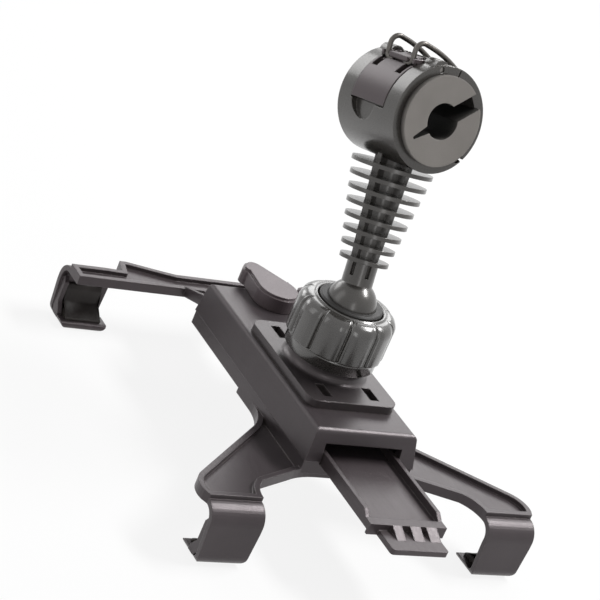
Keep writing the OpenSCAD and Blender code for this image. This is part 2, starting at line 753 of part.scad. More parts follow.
// Grip nut with broad rounded lobes that presses the friction ring onto the ball
module collar_nut() {
    lobe_r = 9.8;
    crest = 0.15;
    step_z = collar_gap + 5.4;
    rim_r = 4;
    lip = 0.8;
    inner_r = boss_d / 2 + gap;
    inner_top = ball_h + shoulder_z;
    lobe_profile = concat([[0, step_z], [skirt_d / 2 - 0.2, step_z], [collar_d / 2, step_z + 2.2]],
                          arc([collar_d / 2 - rim_r, collar_top - rim_r - lip], rim_r, 0, 62, 8),
                          [[mouth_d / 2 + 1.4, collar_top], [0, collar_top]]);
    color(dark_plastic) translate([0, 0, plate_top]) difference() {
        union() {
            translate([0, 0, collar_gap]) cylinder(d = skirt_d, h = step_z + 1.6 - collar_gap, $fn = 120);
            intersection() {
                rotate_extrude($fn = 120) polygon(lobe_profile);
                translate([0, 0, step_z - 0.4]) for (i = [0 : lobe_count - 1])
                    rotate([0, 0, (i + 0.3) * 360 / lobe_count])
                        translate([collar_d / 2 + crest - lobe_r, 0, 0])
                            cylinder(r = lobe_r, h = collar_top, $fn = 72);
            }
        }
        translate([0, 0, collar_gap - 1]) cylinder(r = inner_r, h = inner_top - collar_gap + 1, $fn = 120);
        translate([0, 0, collar_gap]) cylinder(d = mouth_d, h = collar_top, $fn = 120);
        translate([0, 0, collar_top - lip])
            cylinder(d1 = mouth_d, d2 = mouth_d + 3 * lip, h = 1.5 * lip, $fn = 120);
    }
}

// Places its children in the clamp head's frame: origin at the ball, z up the stem, front at -y
module head_frame() {
    translate([0, 0, ball_z]) rotate([0, 0, lean_az]) rotate([0, lean, 0]) rotate([0, 0, head_turn])
        children();
}

// Places its children on the barrel: x right, y up the stem, z from the barrel's rear to its front
module barrel_frame() {
    head_frame() translate([0, 0, stem_len]) rotate([90, 0, 0]) children();
}

// Height of a disc on the stem, counted from the barrel down
function disc_z(i) = stem_len - barrel_r - 2.3 - i * disc_pitch;

// Diameter of a disc
function disc_d(i) = disc_big_d + (disc_small_d - disc_big_d) * i / (disc_count - 1);

// Ball, neck, discs and the cross-shaped core between them
module stem() {
    last = disc_z(disc_count - 1);
    top = stem_len - barrel_r + 2;
    fin_low_half = neck_d / 2 - 0.2;
    fin_top_half = 9.2;
    core_d = 8.6;
    core_top_d = 10.4;
    sphere(d = ball_d, $fn = 96);
    neck(last);
    for (i = [0 : disc_count - 1]) translate([0, 0, disc_z(i) - disc_t / 2])
        cylinder(d = disc_d(i), h = disc_t);
    for (a = [0, 90]) rotate([90, 0, a + fin_dir]) translate([0, 0, -fin_t / 2]) linear_extrude(fin_t)
        polygon([[-fin_low_half, last - 1], [fin_low_half, last - 1],
                 [fin_top_half, top], [-fin_top_half, top]]);
    translate([0, 0, last - 1]) cylinder(d1 = core_d, d2 = core_top_d, h = top - last + 1);
}

// Round neck with blind slots between its ribs
module neck(last) {
    slot_n = 6;
    slot_w = 1.7;
    slot_h = 5.6;
    slot_deep = 1.6;
    difference() {
        cylinder(d = neck_d, h = last - disc_t / 2 + 0.4);
        for (i = [0 : slot_n - 1]) rotate([0, 0, (i + 0.37) * 360 / slot_n])
            translate([neck_d / 2 - slot_deep, -slot_w / 2, last - disc_t / 2 - slot_h])
                cube([slot_deep + 1, slot_w, slot_h - 0.4]);
    }
}

// The stem in one piece with the clamp's barrel
module clamp_stem() {
    half = barrel_l / 2;
    jaw_space = 2;
    latch_half = latch_w / 2 + gap;
    knuckle_space = latch_half + knuckle_recess;
    jaw_knuckle_space = knuckle_half + gap;
    color(plastic) difference() {
        union() {
            head_frame() stem();
            barrel_frame() translate([0, 0, -half]) cylinder(d = barrel_d, h = barrel_l, $fn = 120);
            barrel_frame() lever_ears();
            barrel_frame() jaw_ears();
        }
        barrel_frame() {
            translate([0, 0, -half - 1]) cylinder(r = bore_r, h = barrel_l + 2, $fn = 120);
            translate([0, 0, -half - 1])
                ring_sector(bore_r - 3, barrel_r + 4, jaw_low - jaw_space, jaw_top + jaw_space, barrel_l + 2);
            translate([0, 0, -latch_half])
                ring_sector(latch_floor_r, barrel_r + 6, latch_from - 10, latch_to + 2, 2 * latch_half);
            translate([0, 0, -half - 1]) translate(pivot)
                cylinder(d = pin_d + 2 * fit, h = barrel_l + 2, $fn = 48);
            translate([0, 0, -knuckle_space]) translate(pivot)
                cylinder(r = latch_knuckle_r + 0.2, h = 2 * knuckle_space, $fn = 48);
            translate([0, 0, -half - 1]) translate(jaw_pivot)
                cylinder(d = pin_d + 2 * fit, h = barrel_l + 2, $fn = 48);
            translate([0, 0, -jaw_knuckle_space]) translate(jaw_pivot)
                cylinder(r = knuckle_r + gap, h = 2 * jaw_knuckle_space, $fn = 48);
            for (s = [0, 1]) mirror([0, 0, s]) bail_slot();
            notch_cut();
        }
    }
}

// Lugs on both sides of the latch lever's pivot; they start inside the space that is cut for it
module lever_ears() {
    for (s = [0, 1]) mirror([0, 0, s]) translate([0, 0, latch_w / 2 - ear_sink])
        translate(pivot) cylinder(r = ear_r, h = (barrel_l - latch_w) / 2 + ear_sink - ear_step, $fn = 48);
}

// Lugs on both sides of the jaw's knuckle
module jaw_ears() {
    ear_l = 6;
    for (s = [0, 1]) mirror([0, 0, s]) translate([0, 0, knuckle_half - ear_sink])
        translate(jaw_pivot) cylinder(r = knuckle_r, h = ear_l + ear_sink, $fn = 48);
}

// Room for the bail's arms where they cross the barrel's wall
module bail_slot() {
    slot_h = 4.6;
    translate([0, 0, bail_half - slot_h / 2])
        ring_sector(barrel_r - 1.6, barrel_r + 4, jaw_top, latch_from, slot_h);
}

// Half-moon finger pocket under the tip of the latch lever
module notch_cut() {
    translate([-barrel_r - 2, latch_tip_y, pocket_shift]) rotate([0, 90, 0])
        cylinder(r = pocket_r, h = 2 + pocket_deep, $fn = 64);
}

// Moving jaw that closes the barrel round the insert
module clamp_jaw() {
    half = barrel_l / 2;
    color(plastic) barrel_frame() difference() {
        union() {
            translate([0, 0, -half]) ring_sector(jaw_bore_r, barrel_r, jaw_low, jaw_top, barrel_l);
            translate([0, 0, -knuckle_half]) translate(jaw_pivot)
                cylinder(r = knuckle_r, h = 2 * knuckle_half, $fn = 48);
        }
        translate([0, 0, -half - 1]) translate(jaw_pivot)
            cylinder(d = pin_d + 2 * fit, h = barrel_l + 2, $fn = 48);
        for (s = [0, 1]) mirror([0, 0, s]) translate([0, 0, knuckle_half])
            translate(jaw_pivot) cylinder(r = knuckle_r + gap, h = half, $fn = 48);
        hook_groove();
    }
}

// Groove that the bail's cross bar and the feet of its arches lie in
module hook_groove() {
    groove_r = wire_d / 2 + gap;
    translate([bail_hook[0], bail_hook[1], -bail_half]) cylinder(r = groove_r, h = 2 * bail_half, $fn = 32);
    for (s = [-1, 1]) translate([bail_hook[0], bail_hook[1], s * bail_half]) {
        sphere(r = groove_r, $fn = 32);
        rotate([0, 0, arch_start + 3]) rotate([0, 90, 0]) cylinder(r = groove_r, h = 10, $fn = 32);
    }
}

module jaw_pin() {
    reach = knuckle_half + 5;
    color(steel) barrel_frame() translate([jaw_pivot[0], jaw_pivot[1], -reach])
        cylinder(d = pin_d, h = 2 * reach, $fn = 48);
}

module latch_pin() {
    reach = barrel_l / 2 - 0.6;
    color(steel) barrel_frame() translate([pivot[0], pivot[1], -reach])
        cylinder(d = pin_d, h = 2 * reach, $fn = 48);
}

// Toggle lever with its cover plate
module latch_lever() {
    plate_from = latch_from + 20;
    color(dark_plastic) barrel_frame() difference() {
        union() {
            translate([0, 0, -latch_w / 2])
                ring_sector(latch_floor_r + gap, barrel_r + 0.2, plate_from, latch_to, latch_w);
            translate([0, 0, -arm_in()]) lever_arm(2 * arm_in());
            for (s = [0, 1]) mirror([0, 0, s]) translate([0, 0, arm_out()])
                lever_arm(latch_w / 2 - arm_out());
        }
        translate([0, 0, -latch_w]) translate(pivot)
            cylinder(d = pin_d + 2 * fit, h = 2 * latch_w, $fn = 48);
        translate([0, 0, -latch_w]) translate(bail_eye)
            cylinder(d = wire_d + 2 * fit, h = 2 * latch_w, $fn = 32);
        for (s = [0, 1]) mirror([0, 0, s]) translate([0, 0, arm_in()])
            translate(bail_eye) cylinder(r = 6.4, h = arm_out() - arm_in(), $fn = 48);
    }
}

function arm_in() = bail_half - wire_bend - gap;
function arm_out() = bail_half + wire_d / 2 + gap;

// The lever between its pivot and its cover plate
module lever_arm(height) {
    top = barrel_r + 0.2;
    linear_extrude(height) {
        translate(pivot) circle(r = latch_knuckle_r, $fn = 48);
        difference() {
            polygon([pivot + [1, -0.3], pivot + [0.4, latch_knuckle_r - 0.3], bail_eye + [-1.2, 2.4],
                     [top * cos(127), top * sin(127) - 0.8], [(top - 0.7) * cos(136), (top - 0.7) * sin(136)],
                     [latch_floor_r * cos(134), latch_floor_r * sin(134)]]);
            circle(r = latch_floor_r + gap + 0.05, $fn = 120);
        }
    }
}

// The direction at an angle
function ahead(a) = [cos(a), sin(a)];

// Where a bend ends, seen from its start: heading a, turning left
function bend_end(a, turn, r) = r * [sin(a + turn) - sin(a), cos(a) - cos(a + turn)];

// How long the arch's two straights are, so that it ends in the lever's eye
function arch_lengths() =
    let (a1 = arch_start + arch_turn,
         a2 = a1 + top_turn,
         rest = bail_eye - bail_hook - wire_bend * ahead(arch_start) - bend_end(arch_start, arch_turn, arch_r)
                - bend_end(a1, top_turn, top_r) - wire_bend * ahead(a2),
         u = ahead(a1),
         v = ahead(a2),
         det = u[0] * v[1] - u[1] * v[0])
    [(rest[0] * v[1] - rest[1] * v[0]) / det, (u[0] * rest[1] - u[1] * rest[0]) / det];

// Points on a bend: from p, heading a, turning left
function bend_points(p, a, turn, r, n) =
    [for (i = [1 : n]) p + bend_end(a, turn * i / n, r)];

// Half of the bail's centre line, from the middle of its cross bar to its end in the lever
function bail_half_path() =
    let (legs = arch_lengths(),
         u = ahead(arch_start),
         a1 = arch_start + arch_turn,
         v = ahead(a1 + top_turn),
         p1 = bail_hook + wire_bend * u,
         p2 = p1 + bend_end(arch_start, arch_turn, arch_r),
         p3 = p2 + legs[0] * ahead(a1),
         p4 = p3 + bend_end(a1, top_turn, top_r),
         p5 = p4 + legs[1] * v,
         z1 = bail_half - wire_bend,
         flat = concat([p1], bend_points(p1, arch_start, arch_turn, arch_r, 8), [p3],
                       bend_points(p3, a1, top_turn, top_r, 8), [p5]))
    concat([for (t = [0 : 22.5 : 67.5])
                let (q = bail_hook + wire_bend * (1 - cos(t)) * u) [q[0], q[1], z1 + wire_bend * sin(t)]],
           [for (q = flat) [q[0], q[1], bail_half]],
           [for (t = [22.5 : 22.5 : 90])
                let (q = p5 + wire_bend * sin(t) * v) [q[0], q[1], z1 + wire_bend * cos(t)]],
           [[bail_eye[0], bail_eye[1], z1 - pin_reach]]);

function bail_path() =
    let (half = bail_half_path(), n = len(half))
    concat([for (i = [n - 1 : -1 : 0]) [half[i][0], half[i][1], -half[i][2]]], half);

function unit(v) = v / norm(v);
function heading(path, i) = unit(path[min(i + 1, len(path) - 1)] - path[max(i - 1, 0)]);

// Side vectors that turn as little as they can along the path
function sides(path, i = 0, last = [1, 0, 0]) =
    let (t = heading(path, i), n = unit(last - (last * t) * t))
    i == len(path) - 1 ? [n] : concat([n], sides(path, i + 1, n));

// A round wire along a path, as one swept skin
module wire(path, d, k = 12) {
    n = len(path);
    side = sides(path);
    points = [for (i = [0 : n - 1], j = [0 : k - 1])
        let (a = j * 360 / k, other = cross(heading(path, i), side[i]))
        path[i] + d / 2 * (cos(a) * side[i] + sin(a) * other)];
    faces = concat([[for (j = [0 : k - 1]) j]],
                   [for (i = [0 : n - 2], j = [0 : k - 1])
                       [i * k + j, (i + 1) * k + j, (i + 1) * k + (j + 1) % k, i * k + (j + 1) % k]],
                   [[for (j = [k - 1 : -1 : 0]) (n - 1) * k + j]]);
    polyhedron(points, faces);
}

module wire_bail() {
    color(steel) barrel_frame() wire(bail_path(), wire_d);
}

// Soft split sleeve round the headrest post
module post_insert() {
    half = barrel_l / 2 + insert_proud;
    slit_in = post_bore_d / 2 - 1;
    slit_out = insert_d / 2 - 2.4;
    color(grey_rubber) barrel_frame() difference() {
        union() {
            translate([0, 0, -half]) cylinder(d = insert_d, h = 2 * half, $fn = 120);
            for (s = [0, 1]) mirror([0, 0, s]) translate([0, 0, barrel_l / 2 + 0.1])
                cylinder(d = flange_d, h = insert_proud - 0.1, $fn = 120);
        }
        translate([0, 0, -half - 1]) cylinder(d = post_bore_d, h = 2 * half + 2, $fn = 96);
        rotate([0, 0, mouth_dir]) translate([0, -mouth_w / 2, -half - 1])
            cube([insert_d, mouth_w, 2 * half + 2]);
        rotate([0, 0, mouth_dir + 180]) translate([0, 0, -half - 1]) linear_extrude(2 * half + 2)
            polygon([[slit_in, -1.6], [slit_out, -0.5], [slit_out, 0.5], [slit_in, 1.6]]);
    }
}

module pad_upper_left() {
    color(black_rubber) mirror([1, 0, 0]) claw_pad(up_claw_in, up_claw_out, up_claw_y, 1);
}

module pad_upper_right() {
    color(black_rubber) claw_pad(up_claw_in, up_claw_out, up_claw_y, 1);
}

module pad_lower_left() {
    color(black_rubber) mirror([1, 0, 0]) claw_pad(low_claw_in, low_claw_out, -low_claw_y, -1);
}

module pad_lower_right() {
    color(black_rubber) claw_pad(low_claw_in, low_claw_out, -low_claw_y, -1);
}

lower_bracket();
upper_bracket();
rear_housing();
housing_screws();
release_lever();
lock_cam();
lever_screw();
lever_spring();
stop_post();
socket_base();
base_screws();
ball_cup();
friction_ring();
collar_nut();
clamp_stem();
clamp_jaw();
jaw_pin();
latch_lever();
latch_pin();
wire_bail();
post_insert();
pad_upper_left();
pad_upper_right();
pad_lower_left();
pad_lower_right();
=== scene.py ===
import json
import math

import bmesh
import bpy
import numpy as np
from mathutils import Matrix, Vector


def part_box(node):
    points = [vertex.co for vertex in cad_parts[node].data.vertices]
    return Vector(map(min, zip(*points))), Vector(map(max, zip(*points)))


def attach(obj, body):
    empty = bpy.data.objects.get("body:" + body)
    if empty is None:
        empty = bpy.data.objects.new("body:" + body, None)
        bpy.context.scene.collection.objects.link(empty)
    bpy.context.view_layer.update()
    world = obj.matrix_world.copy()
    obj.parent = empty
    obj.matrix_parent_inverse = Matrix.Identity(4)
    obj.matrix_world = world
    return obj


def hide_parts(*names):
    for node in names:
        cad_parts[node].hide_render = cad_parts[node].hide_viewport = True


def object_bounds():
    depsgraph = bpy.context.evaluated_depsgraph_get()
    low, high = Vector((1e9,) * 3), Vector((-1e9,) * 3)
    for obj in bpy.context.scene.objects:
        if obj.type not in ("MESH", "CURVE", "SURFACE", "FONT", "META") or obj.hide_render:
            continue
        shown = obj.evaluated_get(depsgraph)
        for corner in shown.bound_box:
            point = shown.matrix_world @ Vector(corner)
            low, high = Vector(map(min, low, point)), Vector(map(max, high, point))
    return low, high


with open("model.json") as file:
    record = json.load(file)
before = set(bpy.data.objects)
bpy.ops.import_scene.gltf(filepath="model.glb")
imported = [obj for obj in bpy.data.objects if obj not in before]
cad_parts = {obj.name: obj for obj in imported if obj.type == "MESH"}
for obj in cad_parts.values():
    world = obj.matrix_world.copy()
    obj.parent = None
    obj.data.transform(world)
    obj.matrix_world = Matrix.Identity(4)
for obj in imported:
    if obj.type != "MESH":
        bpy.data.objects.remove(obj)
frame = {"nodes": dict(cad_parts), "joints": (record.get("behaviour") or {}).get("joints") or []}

# Shapes are worked out in millimetres and turned to metres at the end
MM = 0.001

nodes = frame["nodes"]
joints = {joint["name"]: joint for joint in frame["joints"]}
cad_box = [list(corner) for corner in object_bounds()]


# Camera and studio

# The photograph's lens, in pixels of its own frame
PHOTO_SIZE = 600
FOCAL_LENGTH = 2298.7
LENS_AXIS = (294.97, 305.03)

# The camera's place and its three axes
CAMERA_PLACE = Vector((-0.4934, -0.6393, 0.3962))
CAMERA_RIGHT = Vector((0.8344, -0.4154, 0.3624))
CAMERA_UP = Vector((-0.1005, 0.5318, 0.8409))
CAMERA_AHEAD = Vector((0.5420, 0.7380, -0.4020))
SENSOR = 36

# How strongly the world lights the room; the camera sees it as plain white
ROOM_LIGHT = 0.22

# The floor's own tone, how much of what the camera sees of it is plain white, its half width and how
# far it lies below the claws
FLOOR_TONE = (0.86, 0.86, 0.86, 1)
FLOOR_WHITE = 0.86
FLOOR_HALF = 3
FLOOR_BELOW = 0.0002

# Each lamp: name, place, the point it looks at, width and height, and watts
LAMPS = [
    ("high_right", (0.72, -0.04, 1.04), (0, 0, 0.02), (0.75, 0.24), 16.0),
    ("low_behind", (0.78, 1.15, 0.72), (0, 0, 0.03), (0.9, 0.5), 3.7),
    ("far_left", (-0.35, 1.40, 0.50), (0, 0, 0.10), (0.9, 0.5), 4.6),
    ("left_wall", (-0.95, 0.25, 0.45), (0, 0, 0.06), (0.5, 0.9), 1.5),
    ("front_strip", (-0.50, -1.30, 0.34), (0, 0, 0.06), (0.3, 0.8), 1.8),
]


def place_camera():
    """The photograph's own camera: its place, its three axes, its lens and the shift of its frame."""
    data = bpy.data.cameras.new("studio_camera")
    camera = bpy.data.objects.new("studio_camera", data)
    bpy.context.scene.collection.objects.link(camera)
    axes = Matrix((CAMERA_RIGHT, CAMERA_UP, -CAMERA_AHEAD)).transposed()
    turn = axes.to_quaternion().to_matrix().to_4x4()
    camera.matrix_world = Matrix.Translation(CAMERA_PLACE) @ turn
    data.sensor_width = SENSOR
    data.lens = FOCAL_LENGTH / PHOTO_SIZE * SENSOR
    data.shift_x = (PHOTO_SIZE / 2 - LENS_AXIS[0]) / PHOTO_SIZE
    data.shift_y = (LENS_AXIS[1] - PHOTO_SIZE / 2) / PHOTO_SIZE
    data.clip_start, data.clip_end = 0.01, 50
    bpy.context.scene.camera = camera


def softbox(name, place, aim, size, watts):
    """A rectangular lamp at place that looks at aim."""
    data = bpy.data.lights.new(name, "AREA")
    data.shape, data.size, data.size_y = "RECTANGLE", size[0], size[1]
    data.energy = watts
    lamp = bpy.data.objects.new(name, data)
    bpy.context.scene.collection.objects.link(lamp)
    lamp.location = place
    lamp.rotation_euler = (Vector(aim) - Vector(place)).to_track_quat("-Z", "Y").to_euler()


def seen_directly(tree):
    """1 for camera, mirror and glass rays, and 0 for the rays that only carry light."""
    path = tree.nodes.new("ShaderNodeLightPath")
    seen = math_node(tree, "MAXIMUM", path.outputs["Is Camera Ray"], path.outputs["Is Glossy Ray"])
    return math_node(tree, "MAXIMUM", seen, path.outputs["Is Transmission Ray"])


def build_room():
    """A world that looks white and lights the room only a little."""
    world = bpy.data.worlds.new("white_room")
    bpy.context.scene.world = world
    world.use_nodes = True
    tree = world.node_tree
    back = tree.nodes["Background"]
    back.inputs["Color"].default_value = (1, 1, 1, 1)
    level = ramp_value(tree, seen_directly(tree), 0.0, 1.0, ROOM_LIGHT, 1.0)
    tree.links.new(level, back.inputs["Strength"])


def floor_finish():
    """A matt pale floor that takes the shadow, mixed with a glow for the rays that see it directly."""
    mat = bpy.data.materials.new("studio_floor")
    mat.use_nodes = True
    tree = mat.node_tree
    tree.nodes.clear()
    out = tree.nodes.new("ShaderNodeOutputMaterial")
    matt = tree.nodes.new("ShaderNodeBsdfDiffuse")
    matt.inputs["Color"].default_value = FLOOR_TONE
    glow = tree.nodes.new("ShaderNodeEmission")
    mix = tree.nodes.new("ShaderNodeMixShader")
    share = math_node(tree, "MULTIPLY", seen_directly(tree), FLOOR_WHITE)
    tree.links.new(share, mix.inputs["Fac"])
    tree.links.new(matt.outputs[0], mix.inputs[1])
    tree.links.new(glow.outputs[0], mix.inputs[2])
    tree.links.new(mix.outputs[0], out.inputs["Surface"])
    return mat


def build_studio():
    """A white room with a pale floor just under the claws and five rectangular lamps: the main one
    high on the right, two behind the mount, a weak one on the left and a strip behind the camera."""
    bpy.context.scene.view_settings.view_transform = "Standard"
    build_room()
    span = np.linspace(-FLOOR_HALF, FLOOR_HALF, 13)
    across, along = np.meshgrid(span, span, indexing="ij")
    low = cad_box[0][2] - FLOOR_BELOW
    floor = sheet_object("studio_floor", np.stack([across, along, np.full_like(across, low)], -1))
    floor.data.materials.append(floor_finish())
    for lamp in LAMPS:
        softbox(*lamp)


# Meshes from grids of points

def linked_object(name, mesh):
    """A smooth shaded object at the origin that holds this mesh."""
    mesh.shade_smooth()
    piece = bpy.data.objects.new(name, mesh)
    bpy.context.scene.collection.objects.link(piece)
    return piece


def grid_faces(rows, columns, closed=False):
    """Quads between neighbours of a grid of points; where closed, each row joins up round."""
    u = np.arange(rows - 1)
    v = np.arange(columns if closed else columns - 1)
    a, b = np.meshgrid(u, v, indexing="ij")
    beside = (b + 1) % columns
    below = (a + 1) * columns
    quads = np.stack([a * columns + b, below + b, below + beside, a * columns + beside], -1)
    return quads.reshape(-1, 4)


def sheet_object(name, grid, closed=False):
    """A grid of points as a sheet of quads."""
    mesh = bpy.data.meshes.new(name)
    faces = grid_faces(*grid.shape[:2], closed)
    mesh.from_pydata(grid.reshape(-1, 3).tolist(), [], faces.tolist())
    mesh.update()
    return linked_object(name, mesh)


def capped_object(name, rings):
    """A stack of rings as one closed solid: quads between the rings, and over each end a fan of
    triangles round the end ring's middle. All its faces are then turned outwards."""
    rows, columns = rings.shape[:2]
    points = np.concatenate([rings.reshape(-1, 3), rings[:1].mean(1), rings[-1:].mean(1)])
    here = np.arange(columns)
    beside = (here + 1) % columns
    last_row = (rows - 1) * columns
    first_middle = rows * columns
    last_middle = first_middle + 1
    fans = np.concatenate([
        np.stack([np.full(columns, first_middle), beside, here], -1),
        np.stack([np.full(columns, last_middle), last_row + here, last_row + beside], -1)])
    faces = grid_faces(rows, columns, closed=True).tolist() + fans.tolist()
    mesh = bpy.data.meshes.new(name)
    mesh.from_pydata(points.tolist(), [], faces)
    work = bmesh.new()
    work.from_mesh(mesh)
    bmesh.ops.recalc_face_normals(work, faces=work.faces)
    work.to_mesh(mesh)
    work.free()
    return linked_object(name, mesh)


def rod_rings(path, radius, sides):
    """The rings of a round rod: at each point of the path a circle across it, in a frame that is
    carried along without twist, and at each end three smaller circles that round off the tip."""
    tip_length = 0.45 * radius
    tip_back = np.array([1.0, 0.5, 0.15])[:, None]
    tip_radii = radius * np.array([0.02, 0.72, 0.95])
    path = np.asarray(path, float)
    along = np.gradient(path, axis=0)
    along /= np.linalg.norm(along, axis=1, keepdims=True)
    side = np.empty_like(along)
    carried = np.array([1.0, 0.3, 0.2])
    for i, way in enumerate(along):
        carried = carried - way * (carried @ way)
        carried /= np.linalg.norm(carried)
        side[i] = carried
    other = np.cross(along, side)
    tips = len(tip_radii)
    side = np.concatenate([np.repeat(side[:1], tips, 0), side, np.repeat(side[-1:], tips, 0)])
    other = np.concatenate([np.repeat(other[:1], tips, 0), other, np.repeat(other[-1:], tips, 0)])
    first = path[0] - along[0] * tip_length * tip_back
    last = path[-1] + along[-1] * tip_length * tip_back[::-1]
    middle = np.concatenate([first, path, last])[:, None]
    radii = np.concatenate([tip_radii, np.full(len(path), radius), tip_radii[::-1]])[:, None, None]
    turn = np.linspace(0, 2 * np.pi, sides, endpoint=False)[:, None]
    return middle + radii * (np.cos(turn) * side[:, None] + np.sin(turn) * other[:, None])


# The clamp head's place, as in the part's source

STEM_LEN = 77.2
STEM_LEAN = 16.5
LEAN_TOWARDS = 77
HEAD_TURN = -75
BARREL_R = 20.5
BALL = np.array(joints["stem_tilt"]["pos_m"]) / MM


def turned(axis, degrees):
    """A turn about one axis as a 3 by 3 array."""
    return np.array(Matrix.Rotation(math.radians(degrees), 3, axis))


HEAD_AXES = turned("Z", LEAN_TOWARDS) @ turned("Y", STEM_LEAN) @ turned("Z", HEAD_TURN)


def from_barrel(points):
    """Barrel coordinates in mm (x right, y up the stem, z to the front) as places in metres."""
    x, y, z = points.T
    return (np.stack([x, -z, y + STEM_LEN], -1) @ HEAD_AXES.T + BALL) * MM


# The wire bail

def pointing(angle):
    """The unit vector at an angle in degrees."""
    return np.array([math.cos(math.radians(angle)), math.sin(math.radians(angle))])


def arc(start, angle, turn, radius, count):
    """Points on an arc that leaves start at this angle and turns left by turn degrees."""
    first = math.radians(angle)
    along = np.radians(angle + turn * np.arange(1, count + 1) / count)
    run, rise = np.sin(along) - math.sin(first), math.cos(first) - np.cos(along)
    return start + radius * np.stack([run, rise], -1)


def bail_path():
    """One arch runs in a plane across the barrel from the hook's cross bar to the eye in the latch:
    a long curve, a straight, a tight curve and a straight. The two straights' lengths solve the two
    equations that bring the arch to the eye. Quarter circles join it to the cross bar and to the
    short end inside the eye, and the other arch is its mirror image."""
    eye = np.array([-11.6, 16.6])
    hook = (BARREL_R + 0.8) * pointing(50)
    corner_r = 1.8
    long_r, long_start, long_turn = 50, 146, 22
    tight_r, tight_turn = 3.4, 104
    half_width = 8.0
    end_length = 2.4

    out_way = pointing(long_start)
    over_way = pointing(long_start + long_turn)
    down_way = pointing(long_start + long_turn + tight_turn)
    leave = hook + corner_r * out_way
    long_curve = arc(leave, long_start, long_turn, long_r, 20)
    tight_reach = arc(np.zeros(2), long_start + long_turn, tight_turn, tight_r, 1)[-1]
    to_cover = eye - corner_r * down_way - long_curve[-1] - tight_reach
    over_length, down_length = np.linalg.solve(np.stack([over_way, down_way], 1), to_cover)
    over = long_curve[-1] + over_way * over_length * np.linspace(0.15, 1, 6)[:, None]
    tight_curve = arc(over[-1], long_start + long_turn, tight_turn, tight_r, 18)
    down = tight_curve[-1] + down_way * down_length * np.linspace(0.1, 1, 8)[:, None]
    flat = np.concatenate([[leave], long_curve, over, tight_curve, down])

    quarter = np.radians(np.linspace(0, 90, 9))[:, None]
    sine, cosine = corner_r * np.sin(quarter), corner_r * np.cos(quarter)
    inside = half_width - corner_r
    from_bar = np.concatenate([hook + (corner_r - cosine) * out_way, inside + sine], 1)[:-1]
    to_eye = np.concatenate([down[-1] + sine * down_way, inside + cosine], 1)[1:]
    end = np.array([[*to_eye[-1, :2], inside - end_length]])
    arch = np.concatenate([from_bar, np.c_[flat, np.full(len(flat), half_width)], to_eye, end])
    bar = np.linspace(-inside, inside, 12)[1:-1]
    middle = np.c_[np.tile(hook, (len(bar), 1)), bar]
    return np.concatenate([(arch * [1, 1, -1])[::-1], middle, arch])


def make_bail():
    """The bail as one round wire swept along its path."""
    wire_r = 1.0
    wire = capped_object("bail_wire", rod_rings(from_barrel(bail_path()), wire_r * MM, 24))
    wire.data.materials.append(WIRE)
    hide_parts("wire_bail")
    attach(wire, "bail")


# The claws' soft pads

def rounded_outline(corners, radius, steps=4):
    """A closed outline whose corners are cut to curves: near each corner the line bends as a
    quadratic curve between two points a radius away from it."""
    corners = np.asarray(corners, float)
    before, after = np.roll(corners, 1, 0), np.roll(corners, -1, 0)
    t = np.linspace(0, 1, steps + 1)[:, None]
    curves = []
    for a, corner, b in zip(before, corners, after):
        to_a, to_b = np.linalg.norm(a - corner), np.linalg.norm(b - corner)
        cut = min(radius, 0.45 * to_a, 0.45 * to_b)
        start = corner + (a - corner) / to_a * cut
        stop = corner + (b - corner) / to_b * cut
        curves.append((1 - t) ** 2 * start + 2 * t * (1 - t) * corner + t ** 2 * stop)
    return np.concatenate(curves)


def resampled(outline, count):
    """The same closed outline with evenly spaced points."""
    loop = np.concatenate([outline, outline[:1]])
    run = np.concatenate([[0], np.cumsum(np.linalg.norm(np.diff(loop, axis=0), axis=1))])
    at = np.linspace(0, run[-1], count, endpoint=False)
    return np.stack([np.interp(at, run, loop[:, 0]), np.interp(at, run, loop[:, 1])], -1)


def outward(line):
    """The unit normals of a closed outline, pointing away from its middle."""
    tangent = np.roll(line, -1, 0) - np.roll(line, 1, 0)
    tangent /= np.linalg.norm(tangent, axis=1, keepdims=True)
    normal = np.stack([tangent[:, 1], -tangent[:, 0]], -1)
    return normal * np.sign(((line - line.mean(0)) * normal).sum(1).mean())


